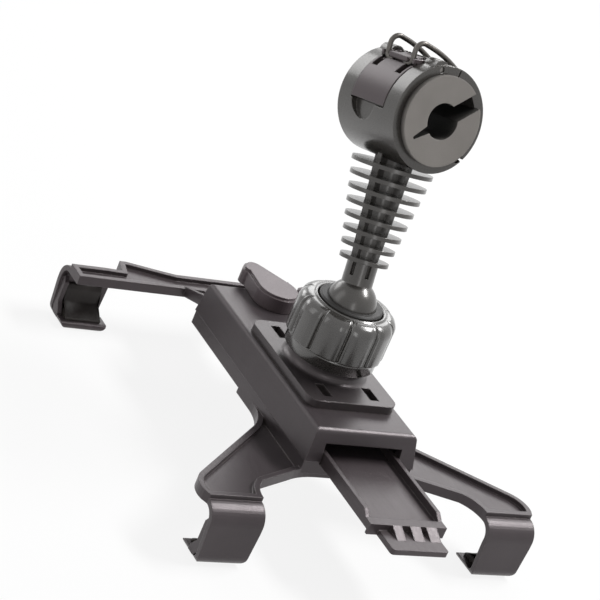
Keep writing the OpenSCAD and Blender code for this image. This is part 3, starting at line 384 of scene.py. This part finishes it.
def make_pad(name, body):
    """A soft pad in its claw. Its side outline, a wedge that thickens to a foot on the claw's lip, is
    carried along the claw. Each end is drawn in by a quarter circle. The face that grips the tablet
    is set back by a steady 0.16 mm less a cosine of 0.11 mm with two waves along the pad."""
    thick, end_r, corner_r = 2.4, 0.45, 0.5
    sunk, wave, waves = 0.162, 0.108, 2
    plain_end, fade = 0.9, 0.6
    low, high = np.array(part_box(name)) / MM
    upper = low[1] > 0
    side = -1 if high[0] < 0 else 1
    bottom, top, deep = low[2], high[2], high[1] - low[1]
    corners = [[0, top], [0.6 * thick, top], [thick, top - 2], [thick, bottom + 0.3 + 2 * thick],
               [deep, bottom + 1.1], [deep, bottom], [4.8, bottom], [1.8, bottom + 0.9],
               [0, bottom + 3.3]]
    line = resampled(rounded_outline(corners, corner_r), 150)

    length = high[0] - low[0]
    u = np.linspace(0, 1, 141)
    from_end = np.minimum(u, 1 - u) * length
    drop = end_r - np.sqrt(np.maximum(end_r ** 2 - (end_r - from_end) ** 2, 0))
    rounding = np.where(from_end < end_r, drop, 0)
    ripple = wave * np.cos(2 * np.pi * waves * u) * np.clip((from_end - plain_end) / fade, 0, 1)
    set_back = (sunk - ripple) * (from_end > 0.05)

    grips = (line[:, 0] > 0.35 * thick) & (line[:, 1] < top - 0.4) & (line[:, 1] > bottom + 0.8)
    margin = 6
    padded = np.r_[grips[-margin:], grips, grips[:margin]].astype(float)
    share = np.convolve(padded, np.ones(7) / 7, "same")[margin:-margin]
    inset = rounding[:, None] + set_back[:, None] * share
    outline = line - inset[..., None] * outward(line)

    x = side * (min(abs(low[0]), abs(high[0])) + u * length)
    y = high[1] - outline[..., 0] if upper else low[1] + outline[..., 0]
    grid = np.stack([np.broadcast_to(x[:, None], y.shape), y, outline[..., 1]], -1) * MM
    pad = capped_object(name + "_ribbed", grid)
    pad.data.materials.append(PAD)
    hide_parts(name)
    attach(pad, body)


def make_pads():
    """The four claws' pads: the upper ones ride on the slider and the lower ones on the holder."""
    for word in ("left", "right"):
        make_pad("pad_upper_" + word, "slider")
        make_pad("pad_lower_" + word, "holder")


# The collar

def make_collar():
    """The grip collar as a surface of revolution whose radius changes round the axis: over the
    skirt the radius is steady; above its step each of the ten lobes is an arc of a 9.8 mm circle set
    10.35 mm from the axis, so that it bulges between narrow valleys, and each valley has a small raised
    bead on either side of a V. The lobes' height above the core fades to nothing over the shoulder."""
    lobes, first_lobe, lobe_r, lobe_out = 10, 0.3, 9.8, 10.35
    core, skirt, crown, mouth, inner = 18.1, 18.5, 20.0, 13.2, 15.8
    step, ceiling, shoulder_w, shoulder_h = 5.4, 20.0, 3.1, 4.7
    bead_h, bead_at, bead_w = 0.22, 0.95, 0.28
    valley_h, valley_w, grip_r = 0.75, 0.34, 19
    low, high = np.array(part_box("collar_nut")) / MM
    base, top = low[2], high[2] - low[2]
    shoulder = top - 5.2

    turn = np.linspace(0, 2 * np.pi, 720, endpoint=False)
    pitch = 360 / lobes
    off = (np.degrees(turn) / pitch - first_lobe + 0.5) % 1 - 0.5
    angle = np.radians(off * pitch)
    bulge = lobe_out * np.cos(angle) + np.sqrt(lobe_r ** 2 - (lobe_out * np.sin(angle)) ** 2)
    from_valley = (0.5 - np.abs(off)) * np.radians(pitch) * grip_r
    bead = bead_h * np.exp(-((from_valley - bead_at) / bead_w) ** 2)
    valley = valley_h * np.exp(-(from_valley / valley_w) ** 2)
    shape = np.minimum(bulge, crown) - core + bead - valley

    # Each row: radius, height above the lower edge, and the share of the lobes' shape
    rows = [[inner, 0.3, 0], [inner + 0.3, 0, 0], [skirt - 0.4, 0, 0], [skirt, 0.4, 0],
            [skirt, step - 1.3, 0], [skirt + 0.12, step - 1.1, 0], [skirt + 0.12, step - 0.6, 0],
            [core, step - 0.35, 0]]
    rows += [[core, step - 0.35 + 0.5 * share, share] for share in (0.35, 0.7, 0.9, 1.0)]
    rows += [[core, height, 1] for height in np.linspace(step + 0.6, shoulder, 16)]
    rows += [[core - shoulder_w * (1 - np.cos(a)), shoulder + shoulder_h * np.sin(a), np.cos(a) ** 0.55]
             for a in np.linspace(0, np.pi / 2, 15)[1:-1]]
    rows += [[core - shoulder_w, shoulder + shoulder_h, 0],
             [mouth + 1.35, top - 0.25, 0], [mouth + 1.2, top, 0], [mouth + 0.5, top - 0.12, 0],
             [mouth + 0.15, top - 0.5, 0], [mouth, top - 1.2, 0], [mouth, ceiling, 0],
             [inner, ceiling, 0], [inner, 0.3, 0]]
    radius, height, share = np.array(rows).T[:, :, None]
    r = radius + share * shape
    z = np.broadcast_to(height + base, r.shape)
    grid = np.stack([r * np.cos(turn), r * np.sin(turn), z], -1) * MM
    collar = sheet_object("collar_lobed", grid, closed=True)
    collar.data.materials.append(COLLAR)
    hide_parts("collar_nut")
    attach(collar, "collar")


# The lever's spring

def make_spring():
    """A torsion spring round the lever's shaft: a helix of steady radius, and from its top turn one
    straight leg along the tangent."""
    turns, coil_r, wire_r = 2.9, 7.2, 0.48
    lowest, climb, leg_length = 15.6, 1.845, 11.6
    x, y = np.array(joints["lever_turn"]["pos_m"][:2]) / MM
    angle = np.linspace(-turns * 2 * np.pi, 0, 190) + np.pi / 2
    rise = np.linspace(0, climb, 190)
    coil = np.stack([x + coil_r * np.cos(angle), y + coil_r * np.sin(angle), lowest + rise], -1)
    leg = coil[-1] + np.outer(np.linspace(0.03, 1, 14), [-leg_length, 0, 0])
    spring = capped_object("lever_torsion_spring",
                           rod_rings(np.concatenate([coil, leg]) * MM, wire_r * MM, 14))
    spring.data.materials.append(SCREW)
    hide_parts("lever_spring")
    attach(spring, "holder")


# Helpers for shader trees

def colour(rgb):
    """An sRGB colour in 0..255 as the linear colour that a socket takes."""
    c = np.asarray(rgb, float) / 255
    linear = np.where(c <= 0.04045, c / 12.92, ((c + 0.055) / 1.055) ** 2.4)
    return (*linear.tolist(), 1.0)


def plug(tree, value, socket):
    """A number set on a socket, or another socket linked to it."""
    if isinstance(value, (int, float)):
        socket.default_value = value
    else:
        tree.links.new(value, socket)


def math_node(tree, op, a, b=None, clamp=False):
    """A maths node on sockets or numbers; returns its result."""
    node = tree.nodes.new("ShaderNodeMath")
    node.operation = op
    node.use_clamp = clamp
    plug(tree, a, node.inputs[0])
    if b is not None:
        plug(tree, b, node.inputs[1])
    return node.outputs[0]


def ramp_value(tree, value, low, high, to_low=0.0, to_high=1.0):
    """value from low..high to to_low..to_high, held at the ends."""
    node = tree.nodes.new("ShaderNodeMapRange")
    node.inputs["From Min"].default_value = low
    node.inputs["From Max"].default_value = high
    node.inputs["To Min"].default_value = to_low
    node.inputs["To Max"].default_value = to_high
    tree.links.new(value, node.inputs["Value"])
    return node.outputs[0]


def noise(tree, vector, scale, detail, rough):
    """Noise on a vector; scale is a number or a socket."""
    node = tree.nodes.new("ShaderNodeTexNoise")
    node.inputs["Detail"].default_value = detail
    node.inputs["Roughness"].default_value = rough
    tree.links.new(vector, node.inputs["Vector"])
    plug(tree, scale, node.inputs["Scale"])
    return node.outputs["Fac"]


def vector_math(tree, op, a, b):
    """A vector maths node on two sockets."""
    node = tree.nodes.new("ShaderNodeVectorMath")
    node.operation = op
    tree.links.new(a, node.inputs[0])
    tree.links.new(b, node.inputs[1])
    return node


def object_place(tree):
    """The point in the part's own coordinates, in metres."""
    return tree.nodes.new("ShaderNodeTexCoord").outputs["Object"]


def surface_normal(tree):
    """The plain normal of the surface."""
    return tree.nodes.new("ShaderNodeNewGeometry").outputs["Normal"]


def openness(tree, reach, samples):
    """1 in the open and 0 where everything within reach is closed in."""
    node = tree.nodes.new("ShaderNodeAmbientOcclusion")
    node.samples = samples
    plug(tree, reach, node.inputs["Distance"])
    return node.outputs["AO"]


def mixed(tree, share, a, b):
    """Colour a where share is 0 and colour b where it is 1; each is a socket or an sRGB triple."""
    node = tree.nodes.new("ShaderNodeMix")
    node.data_type = "RGBA"
    tree.links.new(share, node.inputs["Factor"])
    for value, label in ((a, "A"), (b, "B")):
        socket = [s for s in node.inputs if s.name == label and s.type == "RGBA"][0]
        if isinstance(value, tuple):
            socket.default_value = colour(value)
        else:
            tree.links.new(value, socket)
    return [s for s in node.outputs if s.type == "RGBA"][0]


def covered(tree, base, mask, share, over):
    """The base colour with another laid over it where the mask is 1, by this share at most."""
    return mixed(tree, math_node(tree, "MULTIPLY", mask, share), base, over)


def bumped(tree, height, normal, depth):
    """The given normal tipped by a height that runs over depth metres."""
    node = tree.nodes.new("ShaderNodeBump")
    node.inputs["Distance"].default_value = depth
    tree.links.new(height, node.inputs["Height"])
    tree.links.new(normal, node.inputs["Normal"])
    return node.outputs["Normal"]


# Effects that several finishes share

def new_group(name, inputs, outputs):
    """An empty node group with named inputs (name, kind, default) and outputs (name, kind)."""
    group = bpy.data.node_groups.new(name, "ShaderNodeTree")
    for label, kind, value in inputs:
        socket = group.interface.new_socket(label, in_out="INPUT", socket_type="NodeSocket" + kind)
        socket.default_value = value
    for label, kind in outputs:
        group.interface.new_socket(label, in_out="OUTPUT", socket_type="NodeSocket" + kind)
    given = group.nodes.new("NodeGroupInput").outputs
    out = group.nodes.new("NodeGroupOutput").inputs
    return group, given, out


def use(tree, group, **values):
    """One effect placed in a material, with its own values."""
    node = tree.nodes.new("ShaderNodeGroup")
    node.node_tree = group
    for label, value in values.items():
        node.inputs[label.replace("_", " ")].default_value = value
    return node.outputs


def make_grain():
    """Spark-eroded mould texture: fine noise plus rounded cells as height, a slow cloud as tone."""
    group, given, out = new_group("mould_grain", [("Cells per Metre", "Float", 2600.0)],
                                  [("Height", "Float"), ("Tone", "Float")])
    place = object_place(group)
    fine = noise(group, place, given["Cells per Metre"], 3.0, 0.6)
    cells = group.nodes.new("ShaderNodeTexVoronoi")
    cells.feature = "SMOOTH_F1"
    group.links.new(place, cells.inputs["Vector"])
    group.links.new(given["Cells per Metre"], cells.inputs["Scale"])
    height = math_node(group, "ADD", math_node(group, "MULTIPLY", fine, 0.6),
                       math_node(group, "MULTIPLY", cells.outputs["Distance"], 0.55))
    group.links.new(height, out["Height"])
    group.links.new(noise(group, place, 38.0, 3.0, 0.55), out["Tone"])
    return group


def make_edges():
    """Rounded edges: the surface's normal averaged over a small radius, and a wear mask that is 1
    where it differs from the plain normal, broken up by noise as handling wears a corner."""
    group, given, out = new_group("soft_edges", [("Radius", "Float", 0.0006), ("Breakup", "Float", 0.4)],
                                  [("Normal", "Vector"), ("Wear", "Float")])
    bevel = group.nodes.new("ShaderNodeBevel")
    bevel.samples = 4
    group.links.new(given["Radius"], bevel.inputs["Radius"])
    alike = vector_math(group, "DOT_PRODUCT", bevel.outputs["Normal"], surface_normal(group))
    edge = ramp_value(group, alike.outputs["Value"], 0.995, 0.8)
    patches = ramp_value(group, noise(group, object_place(group), 420.0, 4.0, 0.65), 0.42, 0.68)
    kept = math_node(group, "SUBTRACT", 1.0, math_node(group, "MULTIPLY", patches, given["Breakup"]))
    group.links.new(bevel.outputs["Normal"], out["Normal"])
    group.links.new(math_node(group, "MULTIPLY", edge, kept, True), out["Wear"])
    return group


def make_dust():
    """Dust that settles in corners: how closed in a point is, times a speckle."""
    group, given, out = new_group("corner_dust", [("Reach", "Float", 0.006)], [("Dust", "Float")])
    speckle = ramp_value(group, noise(group, object_place(group), 900.0, 3.0, 0.7), 0.35, 0.75)
    closed = ramp_value(group, openness(group, given["Reach"], 6), 0.75, 0.2)
    group.links.new(math_node(group, "MULTIPLY", closed, speckle, True), out["Dust"])
    return group


def make_marks():
    """Round ejector marks on faces that point down: on a square lattice, a ring of raised plastic
    where the distance to the nearest lattice point equals the mark's radius, round a shallow disc."""
    group, given, out = new_group(
        "ejector_marks", [("Pitch", "Float", 0.021), ("Radius", "Float", 0.0027)], [("Height", "Float")])
    parts = group.nodes.new("ShaderNodeSeparateXYZ")
    group.links.new(object_place(group), parts.inputs[0])
    squares = []
    for axis in ("X", "Y"):
        cell = math_node(group, "DIVIDE", parts.outputs[axis], given["Pitch"])
        share = math_node(group, "FRACT", math_node(group, "ADD", cell, 100.5))
        run = math_node(group, "MULTIPLY", math_node(group, "SUBTRACT", share, 0.5), given["Pitch"])
        squares.append(math_node(group, "MULTIPLY", run, run))
    away = math_node(group, "SQRT", math_node(group, "ADD", *squares))
    radii = math_node(group, "DIVIDE", away, given["Radius"])
    disc = ramp_value(group, radii, 0.94, 1.0)
    from_rim = math_node(group, "ABSOLUTE", math_node(group, "SUBTRACT", radii, 1.06))
    rim = ramp_value(group, from_rim, 0.0, 0.09, 1.0, 0.0)
    facing = group.nodes.new("ShaderNodeSeparateXYZ")
    group.links.new(surface_normal(group), facing.inputs[0])
    under = ramp_value(group, facing.outputs["Z"], -0.9, -0.97)
    height = math_node(group, "MULTIPLY", math_node(group, "ADD", disc, rim), under)
    group.links.new(height, out["Height"])
    return group


def make_lines():
    """Faint flow marks or draw lines: noise stretched along one axis of the part."""
    group, given, out = new_group(
        "draw_lines", [("Stretch", "Vector", (1.0, 0.06, 1.0)), ("Lines per Metre", "Float", 1500.0)],
        [("Lines", "Float")])
    scaled = vector_math(group, "MULTIPLY", object_place(group), given["Stretch"]).outputs[0]
    group.links.new(noise(group, scaled, given["Lines per Metre"], 4.0, 0.6), out["Lines"])
    return group


GRAIN, EDGES, DUST, MARKS, LINES = make_grain(), make_edges(), make_dust(), make_marks(), make_lines()

# Colours of the dust, and the depths of ejector marks and draw lines in metres
PLASTIC_DUST = (122, 116, 108)
RUBBER_DUST = (118, 113, 104)
MARK_DEPTH = 0.00022
DRAW_DEPTH = 0.00002


# Finishes

def new_finish(name):
    """An empty material with its node tree and its shader."""
    mat = bpy.data.materials.new(name)
    mat.use_nodes = True
    return mat, mat.node_tree, mat.node_tree.nodes["Principled BSDF"]


def clouded(tree, grain, dark, light):
    """Two close tones in the grain's slow cloud."""
    return mixed(tree, ramp_value(tree, grain["Tone"], 0.35, 0.65), dark, light)


def paler(rgb, lift):
    """The same colour, lifted by this much in each channel."""
    return tuple(min(255, channel + lift) for channel in rgb)


def plastic(name, dark, light, worn, rough, grain, depth, tint=(1.0, 0.9, 0.93), coat=0.0, lines=None,
            marks=False):
    """Moulded plastic: two close tones in a slow cloud, paler worn edges, dust in its corners,
    a spark-eroded grain in height and gloss, and rounded edges in its normal."""
    mat, tree, shader = new_finish(name)
    texture = use(tree, GRAIN, Cells_per_Metre=grain)
    edge = use(tree, EDGES, Radius=0.0006, Breakup=0.5)
    dirt = use(tree, DUST, Reach=0.005)
    base = clouded(tree, texture, dark, light)
    base = covered(tree, base, edge["Wear"], 0.55, worn)
    base = covered(tree, base, dirt["Dust"], 0.35, PLASTIC_DUST)
    tree.links.new(base, shader.inputs["Base Color"])
    level = ramp_value(tree, texture["Height"], 0.2, 0.8, rough - 0.05, rough + 0.07)
    level = math_node(tree, "ADD", level, math_node(tree, "MULTIPLY", edge["Wear"], -0.07))
    if lines:
        streak = use(tree, LINES, Stretch=lines, Lines_per_Metre=1300.0)
        level = math_node(tree, "ADD", level, ramp_value(tree, streak["Lines"], 0.3, 0.7, -0.04, 0.06))
    tree.links.new(level, shader.inputs["Roughness"])
    normal = bumped(tree, texture["Height"], edge["Normal"], depth)
    if marks:
        normal = bumped(tree, use(tree, MARKS)["Height"], normal, MARK_DEPTH)
    tree.links.new(normal, shader.inputs["Normal"])
    shader.inputs["Specular Tint"].default_value = (*tint, 1)
    shader.inputs["Coat Weight"].default_value = coat
    shader.inputs["Coat Roughness"].default_value = 0.16
    return mat


def rubber(name, dark, light, rough, grain, depth, deep=None):
    """Soft moulding: matt, finely pitted, with pale dust in its corners and on its rubbed edges; where
    deep is given, closed-in bores are darkened towards that colour as painted shade."""
    mat, tree, shader = new_finish(name)
    texture = use(tree, GRAIN, Cells_per_Metre=grain)
    edge = use(tree, EDGES, Radius=0.0005, Breakup=0.7)
    dirt = use(tree, DUST, Reach=0.004)
    base = clouded(tree, texture, dark, light)
    base = covered(tree, base, edge["Wear"], 0.4, paler(light, 26))
    base = covered(tree, base, dirt["Dust"], 0.3, RUBBER_DUST)
    # Painted shade: the deep colour is mixed in by how closed in a point is, so the bore looks shaded
    if deep:
        base = mixed(tree, ramp_value(tree, openness(tree, 0.016, 8), 0.82, 0.5), base, deep)
    tree.links.new(base, shader.inputs["Base Color"])
    level = ramp_value(tree, texture["Height"], 0.2, 0.8, rough - 0.06, rough + 0.08)
    tree.links.new(level, shader.inputs["Roughness"])
    tree.links.new(bumped(tree, texture["Height"], edge["Normal"], depth), shader.inputs["Normal"])
    shader.inputs["Specular IOR Level"].default_value = 0.35
    return mat


def metal(name, dark, light, rough, stretch, pitch):
    """Drawn or turned steel with a dark zinc coat: fine lines along one axis in gloss and height,
    a slow tarnish cloud, and bright rubbed edges."""
    mat, tree, shader = new_finish(name)
    streak = use(tree, LINES, Stretch=stretch, Lines_per_Metre=pitch)
    texture = use(tree, GRAIN, Cells_per_Metre=1500.0)
    edge = use(tree, EDGES, Radius=0.0002, Breakup=0.6)
    base = clouded(tree, texture, dark, light)
    base = covered(tree, base, edge["Wear"], 0.6, paler(light, 55))
    tree.links.new(base, shader.inputs["Base Color"])
    level = ramp_value(tree, streak["Lines"], 0.3, 0.7, rough - 0.08, rough + 0.1)
    level = math_node(tree, "ADD", level, ramp_value(tree, texture["Tone"], 0.4, 0.7, 0.0, 0.08))
    tree.links.new(level, shader.inputs["Roughness"])
    tree.links.new(bumped(tree, streak["Lines"], edge["Normal"], DRAW_DEPTH), shader.inputs["Normal"])
    shader.inputs["Metallic"].default_value = 1.0
    return mat


def dress(names, mat):
    """Gives CAD nodes their finish."""
    for name in names:
        piece = nodes[name]
        if not piece.material_slots:
            piece.data.materials.append(mat)
        for slot in piece.material_slots:
            slot.material = mat


HOLDER = plastic("holder_satin_grey", dark=(48, 43, 45), light=(56, 51, 53), worn=(112, 106, 107),
                 rough=0.33, grain=2400.0, depth=0.00004, lines=(1.0, 0.06, 1.0), marks=True)
RAIL = plastic("rail_satin_grey", dark=(52, 46, 48), light=(60, 54, 56), worn=(110, 103, 105),
               rough=0.36, grain=2400.0, depth=0.00004, lines=(1.0, 0.05, 1.0), marks=True)
PLATE = plastic("socket_plate_grey", dark=(48, 44, 45), light=(55, 51, 52), worn=(108, 104, 102),
                rough=0.3, grain=2600.0, depth=0.00003)
COLLAR = plastic("collar_semi_gloss", dark=(42, 40, 38), light=(50, 48, 46), worn=(116, 112, 108),
                 rough=0.24, grain=3000.0, depth=0.000015, coat=1.0, tint=(1.0, 0.98, 0.96))
STEM = plastic("stem_semi_gloss", dark=(48, 46, 44), light=(57, 55, 52), worn=(104, 100, 96),
               rough=0.28, grain=3000.0, depth=0.00002, coat=0.5, tint=(1.0, 0.97, 0.95))
LEVER = plastic("lever_satin_mauve", dark=(78, 70, 73), light=(88, 79, 82), worn=(122, 114, 115),
                rough=0.34, grain=2600.0, depth=0.00003)
LATCH = plastic("latch_satin_mauve", dark=(64, 57, 59), light=(74, 67, 69), worn=(110, 104, 104),
                rough=0.33, grain=2800.0, depth=0.000025)
# The insert's deep colour is painted shade for its bore
INSERT = rubber("insert_soft_grey", dark=(122, 118, 114), light=(132, 128, 124), rough=0.6, grain=2200.0,
                depth=0.00005, deep=(20, 19, 17))
PAD = rubber("pad_brown_black", dark=(36, 32, 31), light=(44, 39, 37), rough=0.55, grain=2600.0,
             depth=0.00004)
CUP = rubber("cup_black_nylon", dark=(32, 31, 31), light=(40, 39, 38), rough=0.45, grain=2600.0,
             depth=0.00003)
WIRE = metal("bail_drawn_steel", dark=(72, 70, 68), light=(92, 89, 86), rough=0.3,
             stretch=(1.0, 1.0, 0.2), pitch=2400.0)
SCREW = metal("screw_zinc", dark=(112, 110, 108), light=(134, 131, 128), rough=0.3,
              stretch=(1.0, 1.0, 1.0), pitch=2600.0)


dress(["lower_bracket", "rear_housing"], HOLDER)
dress(["upper_bracket"], RAIL)
dress(["socket_base"], PLATE)
dress(["collar_nut"], COLLAR)
dress(["clamp_stem", "clamp_jaw"], STEM)
dress(["release_lever", "lock_cam", "stop_post"], LEVER)
dress(["latch_lever"], LATCH)
dress(["post_insert"], INSERT)
dress(["pad_upper_left", "pad_upper_right", "pad_lower_left", "pad_lower_right"], PAD)
dress(["ball_cup", "friction_ring"], CUP)
dress(["wire_bail"], WIRE)
dress(["housing_screws", "lever_screw", "lever_spring", "base_screws", "jaw_pin", "latch_pin"], SCREW)

place_camera()
build_studio()
make_bail()
make_pads()
make_collar()
make_spring()
